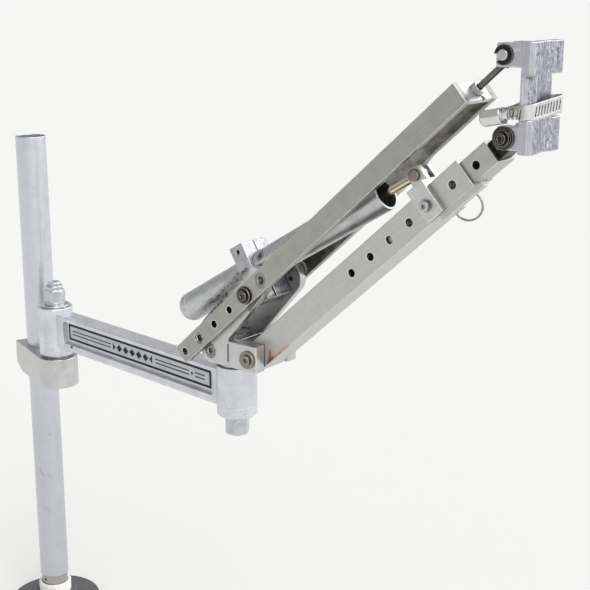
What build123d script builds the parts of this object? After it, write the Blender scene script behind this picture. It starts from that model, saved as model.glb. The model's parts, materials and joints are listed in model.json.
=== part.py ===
"""Post-mounted tool-support arm with a parallelogram lift and a gas strut.

Units are millimetres.  +Z is up and the post axis is the Z axis.  The origin is on the post axis
at the underside of the base flange.  The lift arms lie in a plane parallel to XZ.  Inside an arm,
"along" runs from pivot to head, "up" is square to it, and "side" is measured from the middle
plane towards -Y.
"""
from math import atan2, cos, degrees, radians, sin, tan
import os

from build123d import *

INCH = 25.4

# Post and base
POST_R = 1.5 * INCH / 2
POST_WALL = 1.65
POST_BOTTOM = 50.4
POST_LENGTH = 24 * INCH
FLANGE_R = 60.0
FLANGE_T = 12.0
FLANGE_PCD = 92.0
FLANGE_HOLE_R = 4.5
COLLAR_R = 21.8
COLLAR_TOP = 38.0
SCREW_TURN = 38.0
SPIGOT_TOP = 100.0

# Clamp, link and bracket positions
CLAMP_TURN = -21.0
CLAMP_REACH = 60.0
CLAMP_BOTTOM = 345.9
CLAMP_TOP = 384.0
CLAMP_R = 25.4
LINK_TURN = -6.5
LINK_LENGTH = 342.0
BOSS_R = 22.2
BOSS_TOP = 450.0
BOSS_BOTTOM = 388.0
SHAFT_R = 5 / 8 * INCH / 2
BUSH_R = 11.0
LOWER_PIVOT_X = 43.6
LOWER_PIVOT_Z = 471.1

# Lift arms
LIFT = 41.8
PIVOT_GAP = 2.75 * INCH
ARM_LENGTH = 376.0
HOLE_STEP = 28.6
HOLE_R = 3.95
ARM_W = 38.1
ARM_H = 29.0
ARM_WALL = 3.2
BAR_H = 20.8
CHEEK_IN = 19.45
CHEEK_OUT = 28.45
BAR_IN = 28.9
BAR_OUT = 36.4
PIN_R = 5.0
RUN = 0.05
GAP = 0.3

# Strut: its axis is tilted by STRUT_TURN and passes STRUT_RISE above the upper pivot
STRUT_TURN = 31.1
STRUT_R = 1.25 * INCH / 2
EYE_ALONG = 275.6
EYE_UP = 32.3
EYE_X = EYE_ALONG * cos(radians(LIFT)) - EYE_UP * sin(radians(LIFT))
EYE_Z = EYE_ALONG * sin(radians(LIFT)) + EYE_UP * cos(radians(LIFT)) - PIVOT_GAP
STRUT_EYE = EYE_X * cos(radians(STRUT_TURN)) + EYE_Z * sin(radians(STRUT_TURN))
STRUT_RISE = EYE_Z * cos(radians(STRUT_TURN)) - EYE_X * sin(radians(STRUT_TURN))

# Head
HEAD_HALF = 28.6
ROD_SIDE = 9.1
ROD_R = 0.25 * INCH / 2
ROD_FROM = 262.0


def offset_xy(start, turn, length):
    return (start[0] + length * cos(radians(turn)), start[1] + length * sin(radians(turn)))


LINK_XY = offset_xy((0, 0), CLAMP_TURN, CLAMP_REACH)
SWIVEL_XY = offset_xy(LINK_XY, LINK_TURN, LINK_LENGTH)
LOWER = (SWIVEL_XY[0] + LOWER_PIVOT_X, SWIVEL_XY[1], LOWER_PIVOT_Z)
UPPER = (LOWER[0], LOWER[1], LOWER[2] + PIVOT_GAP)
HEAD = (LOWER[0] + ARM_LENGTH * cos(radians(LIFT)), LOWER[1], LOWER[2] + ARM_LENGTH * sin(radians(LIFT)))

CLAMP_FRAME = Location((0, 0, 0), (0, 0, CLAMP_TURN))
LINK_FRAME = Location((LINK_XY[0], LINK_XY[1], 0), (0, 0, LINK_TURN))
SWIVEL_FRAME = Location((SWIVEL_XY[0], SWIVEL_XY[1], 0))
BRACKET_FRAME = Location(LOWER)
LOWER_FRAME = Location(LOWER, (0, -LIFT, 0))
UPPER_FRAME = Location(UPPER, (0, -LIFT, 0))
STRUT_FRAME = Location(UPPER, (0, -STRUT_TURN, 0))
HEAD_FRAME = Location(HEAD)

RISE = (Align.CENTER, Align.CENTER, Align.MIN)


def post(r, z0, z1, x=0.0, y=0.0):
    """Upright cylinder between two heights."""
    return Pos(x, y, z0) * Cylinder(r, z1 - z0, align=RISE)


def ring(r_out, r_in, z0, z1, x=0.0, y=0.0):
    return post(r_out, z0, z1, x, y) - post(r_in, z0 - 1, z1 + 1, x, y)


def block(x0, x1, y0, y1, z0, z1):
    return Pos((x0 + x1) / 2, (y0 + y1) / 2, (z0 + z1) / 2) * Box(x1 - x0, y1 - y0, z1 - z0)


def slab(along0, along1, side0, side1, up0, up1):
    """Box given in arm directions; side is measured towards -Y."""
    return block(along0, along1, -side1, -side0, up0, up1)


def crosswise(shape):
    """Turn an upright shape so that its Z runs sideways, towards -Y."""
    return Rot(90, 0, 0) * shape


def cross(r, side0, side1, along=0.0, up=0.0):
    """Cylinder lying across the arm."""
    return Pos(along, 0, up) * crosswise(post(r, side0, side1))


def cross_ring(r_out, r_in, side0, side1, along=0.0, up=0.0):
    return Pos(along, 0, up) * crosswise(ring(r_out, r_in, side0, side1))


def lengthwise(r, along0, along1, side=0.0, up=0.0):
    """Cylinder lying along the arm."""
    return Pos(0, -side, up) * Rot(0, 90, 0) * post(r, along0, along1)


def profile(points, side0, side1, radius=0.0):
    """Side-view outline, given as (along, up) points, with a thickness across the arm."""
    line = FilletPolyline(*points, radius=radius, close=True) if radius else Polyline(*points, close=True)
    face = make_face(line)
    return crosswise(Pos(0, 0, side0) * extrude(face, side1 - side0))


def plan(points, z0, z1, radius=0.0):
    """Plan-view outline with a height."""
    line = FilletPolyline(*points, radius=radius, close=True) if radius else Polyline(*points, close=True)
    return Pos(0, 0, z0) * extrude(make_face(line), z1 - z0)


def hexagon(across_flats, z0, z1):
    shape = RegularPolygon(across_flats / 2, 6, major_radius=False)
    return Pos(0, 0, z0) * extrude(shape, z1 - z0)


def mirrored(shape):
    """The shape and its mirror image on the other side of the arm."""
    return shape + mirror(shape, Plane.XZ)


def save(name, shape, frame=Location()):
    export_step(frame * shape, f"parts/{name}.step")


# Post and base ------------------------------------------------------------------------------------

def base_flange():
    body = post(FLANGE_R, 0, FLANGE_T) + post(30, FLANGE_T, 24)
    body -= post(COLLAR_R, 14, 30)
    body -= post(9, -1, 30)
    for turn in range(45, 360, 90):
        x, y = offset_xy((0, 0), turn, FLANGE_PCD / 2)
        body -= post(FLANGE_HOLE_R, -1, FLANGE_T + 1, x, y)
        body -= post(8, FLANGE_T - 4, FLANGE_T + 1, x, y)
    body -= post(12, -1, 7)
    return chamfer(body.edges().filter_by(GeomType.CIRCLE).group_by(Axis.Z)[-1], 1.2)


def post_collar():
    return chamfer(ring(COLLAR_R, 17.2, 14, COLLAR_TOP).edges().group_by(Axis.Z)[-1], 0.8)


def post_spigot():
    body = post(17.2, 14, POST_BOTTOM) + post(POST_R - POST_WALL, POST_BOTTOM, SPIGOT_TOP)
    body -= post(7, SPIGOT_TOP - 30, SPIGOT_TOP + 1)
    body -= post(5, 1, 60)
    return body - Pos(0, 0, 44) * Rot(90, 0, SCREW_TURN) * post(2.5, 12, 20)


def post_screws():
    """Set screw in the spigot's side and the long screw that holds the spigot from below."""
    side = Pos(0, 0, 44) * Rot(90, 0, SCREW_TURN) * (post(2.5, 12, 17.4) - hexagon(2.5, 15, 18))
    under = post(5, 7, 58) + post(11, 1, 7) - hexagon(8, 0, 5)
    return side + under


def post_tube():
    return ring(POST_R, POST_R - POST_WALL, POST_BOTTOM, POST_BOTTOM + POST_LENGTH)


# Post clamp ---------------------------------------------------------------------------------------

CAP_SPLIT = -6.0
CLAMP_SCREW_Y = 22.0
CLAMP_SCREW_Z = (CLAMP_TOP + CLAMP_BOTTOM) / 2 + 3
CLAMP_SCREW_R = 2.0
LINK_NUT_Z = 456.5


def clamp_outline(x0, x1):
    """Part of the clamp between two lengthwise positions, before boring."""
    body = block(-31, CLAMP_REACH, -CLAMP_R, CLAMP_R, CLAMP_BOTTOM, CLAMP_TOP)
    body += post(CLAMP_R, CLAMP_BOTTOM, CLAMP_TOP, CLAMP_REACH)
    wedge = profile([(-32, CLAMP_BOTTOM - 1), (-32, CLAMP_BOTTOM + 9), (-8, CLAMP_BOTTOM - 1)], -40, 40)
    body -= wedge
    return body & block(x0, x1, -60, 60, 0, 600)


def clamp_screw_holes(r_body, r_head):
    holes = Part()
    for y in (-CLAMP_SCREW_Y, CLAMP_SCREW_Y):
        hole = post(r_body, -29, 22) + post(r_head, -32, -25)
        holes += Pos(0, y, CLAMP_SCREW_Z) * Rot(0, 90, 0) * hole
    return holes


def clamp_block():
    body = clamp_outline(CAP_SPLIT + 0.8, 100)
    body -= post(POST_R + RUN, 300, 400)
    body -= post(SHAFT_R, 300, 400, CLAMP_REACH)
    body -= post(15, CLAMP_BOTTOM - 1, CLAMP_BOTTOM + 12, CLAMP_REACH)
    return body - clamp_screw_holes(CLAMP_SCREW_R, CLAMP_SCREW_R)


def clamp_cap():
    return clamp_outline(-40, CAP_SPLIT) - post(POST_R + RUN, 300, 400) - clamp_screw_holes(CLAMP_SCREW_R + GAP, 3.1)


def clamp_screws():
    screws = Part()
    for y in (-CLAMP_SCREW_Y, CLAMP_SCREW_Y):
        screw = post(CLAMP_SCREW_R, -26, 20) + post(3.0, -30.5, -25.0) - hexagon(2.6, -32, -28)
        screws += Pos(0, y, CLAMP_SCREW_Z) * Rot(0, 90, 0) * screw
    return screws


def link_bolt():
    shank = post(SHAFT_R, CLAMP_BOTTOM + 10, 481.5)
    head = hexagon(23.8, CLAMP_BOTTOM + 1.5, CLAMP_BOTTOM + 11.9)
    return chamfer(shank.edges().group_by(Axis.Z)[-1], 1.2) + head


def nyloc_nut(bottom, hex_h, total_h):
    hexed = hexagon(23.8, bottom, bottom + hex_h)
    hexed &= Pos(0, 0, bottom - 3) * Cone(19, 12.2, hex_h + 3.4, align=RISE)
    collar = fillet(post(10.6, bottom + hex_h, bottom + total_h).edges().group_by(Axis.Z)[-1], 2.0)
    return hexed + collar - post(SHAFT_R, bottom - 1, bottom + total_h + 1)


def link_nut():
    return nyloc_nut(LINK_NUT_Z, 15.0, 21.0)


def link_washers():
    top = ring(18, SHAFT_R, BOSS_TOP + GAP, 452.4) + ring(12.8, SHAFT_R, 452.4, LINK_NUT_Z)
    return top + ring(16, SHAFT_R, CLAMP_TOP, BOSS_BOTTOM - GAP)


# Link ---------------------------------------------------------------------------------------------

BEAM_HALF = 12.0
BEAM_Z = (400.5, 443.5)
POCKET_Z = (409.5, 438.0)
POCKET_X = (33.0, 315.0)
POCKET_DEPTH = 5.0
BOSS2_BOTTOM = 392.0


def boss(x, z0, z1):
    body = post(BOSS_R, z0, z1, x)
    return chamfer(body.edges().filter_by(GeomType.CIRCLE).group_by(Axis.Z)[0], 3.0)


def pocket():
    x0, x1 = POCKET_X
    z0, z1 = POCKET_Z
    points = [(x0, z0), (x1, z0), (x1, z1), (x0, z1)]
    return profile(points, BEAM_HALF - POCKET_DEPTH, BEAM_HALF + 5, radius=4)


def link_casting():
    body = block(0, LINK_LENGTH, -BEAM_HALF, BEAM_HALF, *BEAM_Z)
    body = fillet(body.edges().filter_by(Axis.X), 2.0)
    body += fillet(post(BOSS_R, BOSS_BOTTOM, BOSS_TOP).edges().group_by(Axis.Z)[-1], 1.5)
    body += boss(LINK_LENGTH, BOSS2_BOTTOM, BOSS_TOP)
    body -= pocket()
    body -= mirror(pocket(), Plane.XZ)
    for x, low in ((0, BOSS_BOTTOM), (LINK_LENGTH, BOSS2_BOTTOM)):
        body -= post(BUSH_R, low - 1, BOSS_TOP + 1, x)
    body -= post(17.5, BOSS_TOP - 3, BOSS_TOP + 1)
    return body


def label_plate():
    x0, x1 = POCKET_X[0] + 6, POCKET_X[1] - 6
    inner = BEAM_HALF - POCKET_DEPTH
    plate = slab(x0, x1, inner, inner + 0.6, 414.4, 435.9)
    return plate


def boss_bushes():
    bushes = ring(17.5, SHAFT_R + RUN, BOSS_TOP - 3, BOSS_TOP - 0.4)
    for x, low in ((0, BOSS_BOTTOM), (LINK_LENGTH, BOSS2_BOTTOM)):
        bushes += ring(BUSH_R, SHAFT_R + RUN, BOSS_TOP - 24, BOSS_TOP - 0.4, x)
        bushes += ring(BUSH_R, SHAFT_R + RUN, low + 0.2, low + 24, x)
    return bushes


# Bracket ------------------------------------------------------------------------------------------

CHEEK_LEFT = -67.5
CHEEK_RIGHT = 11.8
CHEEK_LOW = -12.9
SHOULDER_UP = 15.0
UPRIGHT_LEAN = 48.5
NEAR_TOP = (3.6, 81.0, 17.8)
FAR_TOP = (9.8, 79.6, 19.05)
STEP_LEFT = -28.0
STEP_OUT = 33.0
BASE_FRONT = -22.0
CHEEK_SCREW = (-55.8, -1.4)


def cheek_outline(top, side0, side1):
    """Foot with a leaning upright; top gives the centre and radius of its round end."""
    cx, cz, r = top
    lean = radians(UPRIGHT_LEAN)
    right = (cx + r * sin(lean), cz - r * cos(lean))
    left = (cx - r * sin(lean), cz + r * cos(lean))
    points = [
        (CHEEK_LEFT, CHEEK_LOW),
        (CHEEK_RIGHT, CHEEK_LOW),
        (CHEEK_RIGHT, SHOULDER_UP),
        (right[0] - (right[1] - SHOULDER_UP) / tan(lean), SHOULDER_UP),
        right,
        left,
        (CHEEK_LEFT, left[1] - (left[0] - CHEEK_LEFT) * tan(lean)),
    ]
    return profile(points, side0, side1) + cross(r, side0, side1, cx, cz)


def cheek(top):
    body = cheek_outline(top, CHEEK_IN, CHEEK_OUT)
    body += slab(STEP_LEFT, CHEEK_RIGHT, CHEEK_OUT, STEP_OUT, CHEEK_LOW, SHOULDER_UP)
    body -= cross(PIN_R, 0, 60)
    body -= cross(PIN_R, 0, 60, 0, PIVOT_GAP)
    body -= cross(5.0, 0, 60, *CHEEK_SCREW)
    return body - cross(8.3, CHEEK_OUT - 6, 60, *CHEEK_SCREW)


def base_block():
    lift = LOWER_PIVOT_Z
    low = BOSS_TOP + 2.7 - lift
    body = slab(CHEEK_LEFT, BASE_FRONT, -CHEEK_IN, CHEEK_IN, low, SHOULDER_UP - 1)
    body -= post(SHAFT_R, low - 1, 40, -LOWER_PIVOT_X)
    body -= post(14.0, SHOULDER_UP - 9, 40, -LOWER_PIVOT_X)
    body -= cross(3.4, -30, -9, *CHEEK_SCREW)
    return body - cross(3.4, 9, 30, *CHEEK_SCREW)


def cheek_screws():
    """Cap screws that hold the cheeks on the base block, sunk flush."""
    screw = cross(5.0, CHEEK_IN, CHEEK_OUT - 6, *CHEEK_SCREW) + cross(3.4, 9, CHEEK_IN, *CHEEK_SCREW)
    head = cross(7.8, CHEEK_OUT - 6, CHEEK_OUT, *CHEEK_SCREW)
    socket = Pos(CHEEK_SCREW[0], 0, CHEEK_SCREW[1]) * crosswise(hexagon(6, CHEEK_OUT - 4, CHEEK_OUT + 1))
    return mirrored(screw + head - socket)


def swivel_shaft():
    shank = post(SHAFT_R, 368.4, LOWER_PIVOT_Z + SHOULDER_UP - 9)
    head = hexagon(23.8, LOWER_PIVOT_Z + SHOULDER_UP - 9, LOWER_PIVOT_Z + SHOULDER_UP - 1.5)
    return fillet(shank.edges().group_by(Axis.Z)[0], 3.0) + head


def swivel_washers():
    top = ring(19, SHAFT_R, BOSS_TOP + 0.3, BOSS_TOP + 2.7)
    return top + ring(13.0, SHAFT_R, 387.0, BOSS2_BOTTOM - 0.3)


def swivel_nut():
    body = hexagon(23.8, 371.5, 387.0)
    body &= Pos(0, 0, 370.5) * Cone(12.2, 20, 16.6, align=RISE)
    return body - post(SHAFT_R, 360, 400)


def pivot_bolt(outer, up, head_r, head_h):
    """Shoulder bolt across both cheeks with its nut on the far side."""
    bolt = cross(PIN_R, -outer, outer, 0, up) + cross(head_r, outer, outer + head_h, 0, up)
    bolt -= Pos(0, 0, up) * crosswise(hexagon(4.5, outer + head_h - 2.5, outer + head_h + 1))
    nut = hexagon(15.9, -outer - 7.5, -outer) & post(8.6, -outer - 7.5, -outer)
    return bolt + Pos(0, 0, up) * crosswise(nut)


def pivot_bolts():
    lower = pivot_bolt(STEP_OUT + 2.2, 0, 5.6, 2.4)
    return lower + pivot_bolt(BAR_OUT + 2.6, PIVOT_GAP, 5.0, 2.0)


def pivot_washers():
    lower = cross_ring(9.4, PIN_R, STEP_OUT, STEP_OUT + 2.2)
    return mirrored(lower + cross_ring(8.5, PIN_R, BAR_OUT + GAP, BAR_OUT + 2.6, 0, PIVOT_GAP))


# Lower arm ----------------------------------------------------------------------------------------

TUBE_END = 324.5
TUBE_START = -13.0
FIRST_HOLE = 162.2
LAST_HOLE = 307.4
CLEVIS_FROM, CLEVIS_TO = 267.3, 288.0
CLEVIS_T = 6.35
CLEVIS_OUT = ARM_W / 2 + CLEVIS_T
CLEVIS_TOP = ARM_H / 2 + CLEVIS_T
CLEVIS_SCREW = FIRST_HOLE + 4 * HOLE_STEP
EAR_IN, EAR_OUT = 4.25, 10.5
LATCH = (288.5, -2.4)
LIP_FROM, LIP_TO = 279.0, 333.0
LIP_IN, LIP_LOW = 12.0, -20.0


def lower_tube():
    half_w, half_h = ARM_W / 2, ARM_H / 2
    body = slab(0, TUBE_END, -half_w, half_w, -half_h, half_h)
    end = [(TUBE_START, -half_h), (20, -half_h), (20, half_h), (TUBE_START, half_h)]
    body += profile(end, -half_w, half_w, radius=9)
    body -= slab(TUBE_START + 30, TUBE_END + 1, ARM_WALL - half_w, half_w - ARM_WALL,
                 ARM_WALL - half_h, half_h - ARM_WALL)
    body -= cross(8.0, -30, 30)
    for index in range(5):
        body -= cross(HOLE_R, -30, 30, FIRST_HOLE + index * HOLE_STEP)
    body -= cross(HOLE_R, -30, 30, LAST_HOLE)
    body -= slab(LIP_FROM, TUBE_END + 1, -half_w - 1, -7.6, -half_h - 1, ARM_WALL - half_h)
    return body - cross(3.4, -30, 0, *LATCH)


def lower_bushes():
    return mirrored(cross_ring(8.0, PIN_R + RUN, 3, ARM_W / 2))


def clevis_plate(front):
    """Flat plate on the arm's side, under the end of the clevis crosspiece."""
    body = slab(CLEVIS_FROM, front, ARM_W / 2, CLEVIS_OUT, 1 - ARM_H / 2, CLEVIS_TOP)
    return body - cross(HOLE_R, 0, 60, CLEVIS_SCREW)


def strut_clevis():
    """Crosspiece on top of the arm with two ears that hold the strut's eye between them."""
    outline = [(267.3, 16), (285, 16), (284.5, 37.2), (277, 41), (268.5, 40)]
    ear = profile(outline, EAR_IN, EAR_OUT)
    body = slab(CLEVIS_FROM, CLEVIS_TO, -ARM_W / 2, ARM_W / 2, ARM_H / 2, CLEVIS_TOP) + mirrored(ear)
    return body - cross(4.0, -30, 30, EYE_ALONG, EYE_UP)


def strut_pin():
    pin = cross(4.0, -EAR_OUT - 3, EAR_OUT, EYE_ALONG, EYE_UP)
    pin += cross(5.4, EAR_OUT, EAR_OUT + 3.0, EYE_ALONG, EYE_UP)
    return pin + cross_ring(5.4, 3.9, -EAR_OUT - 2.6, -EAR_OUT, EYE_ALONG, EYE_UP)


def guide_lip():
    """Narrow strip under the arm's near edge that runs on past its end."""
    return slab(LIP_FROM, LIP_TO, LIP_IN, ARM_W / 2, LIP_LOW, -ARM_H / 2)


def lower_arm_screws():
    """Screws through the clevis plates: a cap screw on the near side, a flush one on the far side."""
    flush = cross(HOLE_R, ARM_W / 2 - 2.9, CLEVIS_OUT, CLEVIS_SCREW)
    near = flush + cross(4.9, CLEVIS_OUT, CLEVIS_OUT + 5.0, CLEVIS_SCREW)
    near -= Pos(CLEVIS_SCREW, 0, 0) * crosswise(hexagon(4, CLEVIS_OUT + 2.5, CLEVIS_OUT + 6))
    flush -= Pos(CLEVIS_SCREW, 0, 0) * crosswise(hexagon(4, CLEVIS_OUT - 3, CLEVIS_OUT + 1))
    return near + mirror(flush, Plane.XZ)


def latch_barrel():
    barrel = crosswise(ring(5.8, 3.3, -28.0, -ARM_W / 2)) - crosswise(post(4.6, -26, -ARM_W / 2))
    return Pos(LATCH[0], 0, LATCH[1]) * barrel


# Extension ----------------------------------------------------------------------------------------

BAR_HALF_W = ARM_W / 2 - ARM_WALL - 0.1
BAR_HALF_H = ARM_H / 2 - ARM_WALL - 0.1
BAR_FROM, BAR_TO = 205.0, 355.5
SLOT_BACK, SLOT_FRONT = 31.5, 11.3


def extension_bar():
    body = slab(BAR_FROM, BAR_TO, -BAR_HALF_W, BAR_HALF_W, -BAR_HALF_H, BAR_HALF_H)
    for along in (FIRST_HOLE + 3 * HOLE_STEP, LAST_HOLE, LAST_HOLE + HOLE_STEP):
        body -= cross(HOLE_R, -30, 30, along)
    slot = slab(LATCH[0] - SLOT_BACK, LATCH[0] + SLOT_FRONT, -20, -11.0, LATCH[1] - 3.5, LATCH[1] + 3.5)
    body -= slot
    return body - lengthwise(5.0, BAR_TO - 25, BAR_TO + 1)


def tongue():
    """Black steel end that carries the head's lower pivot."""
    body = slab(BAR_TO, ARM_LENGTH, -10, 10, -9.2, 9.2) + cross(9.2, -10, 10, ARM_LENGTH)
    body += lengthwise(5.0, BAR_TO - 25, BAR_TO + 1)
    return body - cross(PIN_R + RUN, -30, 30, ARM_LENGTH)


# Latch --------------------------------------------------------------------------------------------

RING_R = 13.6
RING_WIRE = 1.25
RING_SIDE = -32.8
RING_TURN = 15.0
KNOB_R = 4.4
KNOB_HALF = 4.2


def latch_pin():
    """Spring pin whose outer knob carries the pull ring in a level cross hole."""
    pin = post(3.0, -29.0, -12.5) + post(4.2, -22.5, -20.5)
    pin += post(KNOB_R, RING_SIDE - KNOB_HALF, RING_SIDE + KNOB_HALF)
    hole = Rot(0, LIFT, 0) * Pos(0, -RING_SIDE, 0) * Rot(0, 0, RING_TURN) * Rot(0, 90, 0) * post(2.6, -10, 10)
    return Pos(LATCH[0], 0, LATCH[1]) * (crosswise(pin) - hole)


def latch_spring():
    wire = Helix(1.0, 2.7, 3.75)
    coil = sweep(Plane(origin=wire @ 0, z_dir=wire % 0) * Circle(0.3), path=wire)
    return Pos(LATCH[0], 0, LATCH[1]) * crosswise(Pos(0, 0, -25.6) * coil)


def pull_ring():
    """Wire ring that hangs straight down from the pull pin."""
    loop = Torus(RING_R, RING_WIRE)
    hang = Rot(0, LIFT, 0) * Rot(0, 0, RING_TURN) * Pos(0, 0, -RING_R) * Rot(90, 0, 0) * loop
    return Pos(LATCH[0], -RING_SIDE, LATCH[1]) * hang


# Upper arm ----------------------------------------------------------------------------------------

BAR_START, BAR_END = -122.5, 327.0
JOG_FROM, JOG_TO = 186.0, 240.0
FAR_IN = -10.5
PLATE_FACE = BAR_END - 0.2


def bar_holes():
    holes = Part()
    for index in (-4, -2, -1):
        holes += cross(HOLE_R, -60, 60, index * HOLE_STEP)
    holes += cross(6.2, -60, 60, -3 * HOLE_STEP) + cross(8.0, -60, 60, HOLE_STEP)
    return holes + cross(PIN_R + RUN, -60, 60)


def near_bar():
    points = [(BAR_START, -BAR_H / 2), (BAR_END, -BAR_H / 2), (BAR_END, BAR_H / 2), (BAR_START, BAR_H / 2)]
    body = profile(points, BAR_IN, BAR_OUT)
    ends = body.edges().filter_by(Axis.Y).group_by(Axis.X)[0]
    return fillet(ends, 4.0) - bar_holes()


def far_bar():
    """Flat bar that steps inwards before it reaches the end plate."""
    t = BAR_OUT - BAR_IN
    points = [
        (BAR_START, BAR_OUT), (BAR_START, BAR_IN), (JOG_FROM, BAR_IN), (JOG_TO, -FAR_IN),
        (BAR_END, -FAR_IN), (BAR_END, t - FAR_IN), (JOG_TO + 2, t - FAR_IN), (JOG_FROM + 2, BAR_OUT),
    ]
    body = plan(points, -BAR_H / 2, BAR_H / 2)
    ends = body.edges().filter_by(Axis.Y).group_by(Axis.X)[0]
    return fillet(ends, 4.0) - bar_holes()


def end_plate():
    """Thin plate between the bar ends, with the rod's hole and a small blind hole."""
    body = slab(BAR_END - 5, PLATE_FACE, FAR_IN, BAR_IN, -BAR_H / 2 + 0.5, BAR_H / 2)
    body -= lengthwise(2.8, PLATE_FACE - 3, PLATE_FACE + 1, 5.1, -8.6)
    return body - lengthwise(3.4, 200, 400, ROD_SIDE)


def bar_bushes():
    near = cross_ring(6.2, HOLE_R, BAR_IN, BAR_OUT - 0.4, -3 * HOLE_STEP)
    near += cross_ring(8.0, HOLE_R, BAR_IN, BAR_OUT - 0.2, HOLE_STEP)
    return mirrored(near)


def lock_nut():
    nut = hexagon(11.1, 0, 5.6) & Pos(0, 0, -1) * Cone(7.8, 5.6, 7.2, align=RISE)
    nut -= post(3.3, -1, 7)
    return Pos(PLATE_FACE, -ROD_SIDE, 0) * Rot(0, 90, 0) * Rot(0, 0, 15) * nut


def adjuster_rod():
    return lengthwise(ROD_R, ROD_FROM, ARM_LENGTH - 7, ROD_SIDE)


def adjuster_eye():
    body = cross(8.3, ROD_SIDE - 6.2, ROD_SIDE + 6.2, ARM_LENGTH)
    body += lengthwise(5.2, ARM_LENGTH - 13, ARM_LENGTH - 5, ROD_SIDE)
    body -= cross(4.5 + 0.35, -30, 40, ARM_LENGTH)
    return body - lengthwise(ROD_R, ROD_FROM, ARM_LENGTH - 7, ROD_SIDE)


# Strut --------------------------------------------------------------------------------------------

CUP_END = 185.1
STRUT_BACK = -121.0
STRUT_BORE = 13.6
COLLAR_HALF = 18.9
FOOT_HALF = 12.5
PISTON_ROD_R = 3.95


def strut_tube():
    body = lengthwise(STRUT_R, STRUT_BACK + 16, CUP_END, 0, STRUT_RISE)
    body -= lengthwise(STRUT_BORE, STRUT_BACK, CUP_END + 1, 0, STRUT_RISE)
    return body


def strut_cap():
    dome = lengthwise(STRUT_R, STRUT_BACK, STRUT_BACK + 16, 0, STRUT_RISE)
    dome = fillet(dome.edges().group_by(Axis.X)[0], 11.0)
    return dome + lengthwise(STRUT_BORE, STRUT_BACK + 16, STRUT_BACK + 28, 0, STRUT_RISE)


def gas_cylinder():
    body = lengthwise(11.8, STRUT_BACK + 28, CUP_END - 14, 0, STRUT_RISE)
    body += lengthwise(STRUT_BORE, 0, 20, 0, STRUT_RISE)
    body += lengthwise(STRUT_BORE, CUP_END - 34, CUP_END - 14, 0, STRUT_RISE)
    return body - lengthwise(9.6, STRUT_BACK + 34, CUP_END, 0, STRUT_RISE)


def trunnion_collar():
    """Split collar that grips the strut tube; its square foot hangs on the upper pivot."""
    body = slab(-9.5, 9.5, -COLLAR_HALF, COLLAR_HALF, -9.5, STRUT_RISE + 29)
    body += slab(-FOOT_HALF, FOOT_HALF, -COLLAR_HALF, COLLAR_HALF, -12.7, STRUT_RISE - 4)
    body -= lengthwise(STRUT_R, -30, 30, 0, STRUT_RISE)
    body -= slab(-20, 20, -0.8, 0.8, STRUT_RISE + 10, STRUT_RISE + 40)
    body -= slab(FOOT_HALF - 3, 20, 4.5, 7, -14, STRUT_RISE)
    body -= cross(PIN_R + RUN, -30, 30)
    return body - cross(2.5, -30, 30, 0, STRUT_RISE + 22)


def pinch_screw():
    screw = cross(2.5, -18, 17, 0, STRUT_RISE + 22)
    return screw - Pos(0, 0, STRUT_RISE + 22) * crosswise(hexagon(2.5, 14.5, 18))


def piston_rod():
    body = lengthwise(PISTON_ROD_R, 60, STRUT_EYE - 6, 0, STRUT_RISE)
    return body + lengthwise(5.5, 60, 66, 0, STRUT_RISE)


def rod_eye():
    """Flat eye on the rod's end, with room on both sides between the clevis ears."""
    half = EAR_IN - 0.35
    body = cross(7.0, -half, half, STRUT_EYE, STRUT_RISE)
    body -= cross(4.0 + RUN, -30, 30, STRUT_EYE, STRUT_RISE)
    return body - lengthwise(PISTON_ROD_R, 60, STRUT_EYE - 6, 0, STRUT_RISE)


# Head ---------------------------------------------------------------------------------------------

EAR_BACK = -7.0
WEB_BACK = 16.5
HEAD_FRONT = 27.5
HEAD_LOW, HEAD_HIGH = -12.5, 81.0
NECK_LOW, NECK_HIGH = 16.5, 53.5
BAND_T = 0.8
BAND_WIDTH = 14.3
BAND_MIDDLE = (30.0, 14.0, 25.15)
BAND_PITCH = 8.8
BAND_ROLL = 7.2
CLIP_TURN = 200.0
BAND_PATH = [
    (3.6, 29.3), (20, 29), (27.8, 24), (33, 8), (37, -6), (34, -14),
    (22, -17), (8, -14), (4, -6), (3.2, 10),
]
SLOTTED = {0: 4, 2: 5, 3: 4}


def head_body():
    body = slab(WEB_BACK, HEAD_FRONT, -HEAD_HALF, HEAD_HALF, HEAD_LOW, HEAD_HIGH)
    body = chamfer(body.edges().filter_by(Axis.Z).group_by(Axis.X)[-1], 3.2)
    body -= slab(0, 40, -40, -9.5, NECK_LOW, NECK_HIGH)
    for side0, side1 in ((16.0, HEAD_HALF), (-10.6, 2.2)):
        body += ear(side0, side1, PIVOT_GAP)
    for side0, side1 in ((10.3, 23.0), (-23.0, -10.3)):
        body += ear(side0, side1, 0)
    neck_cut = plan([(18.5, -HEAD_HALF), (HEAD_FRONT + 1, -19.6), (40, -19.6), (40, -40), (18.5, -40)],
                    NECK_LOW, NECK_HIGH)
    body -= neck_cut
    groove = post(24, HEAD_LOW - 1, HEAD_HIGH + 1, HEAD_FRONT + 20.5, 0)
    body -= groove
    body -= cross(4.5, -40, 40, 0, PIVOT_GAP)
    return body - cross(PIN_R, -40, 40)


def ear(side0, side1, up):
    body = slab(EAR_BACK, WEB_BACK, side0, side1, up - 10, up + 10)
    return fillet(body.edges().filter_by(Axis.Y).group_by(Axis.X)[0], 2.5)


def head_pin():
    return cross(4.5, -14.5, HEAD_HALF + 3.0, 0, PIVOT_GAP)


def retaining_clip(side0, side1):
    clip = ring(8.6, 4.5, side0, side1)
    clip -= Rot(0, 0, CLIP_TURN) * block(0, 20, -3.2, 3.2, side0 - 1, side1 + 1)
    return crosswise(clip)


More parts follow.
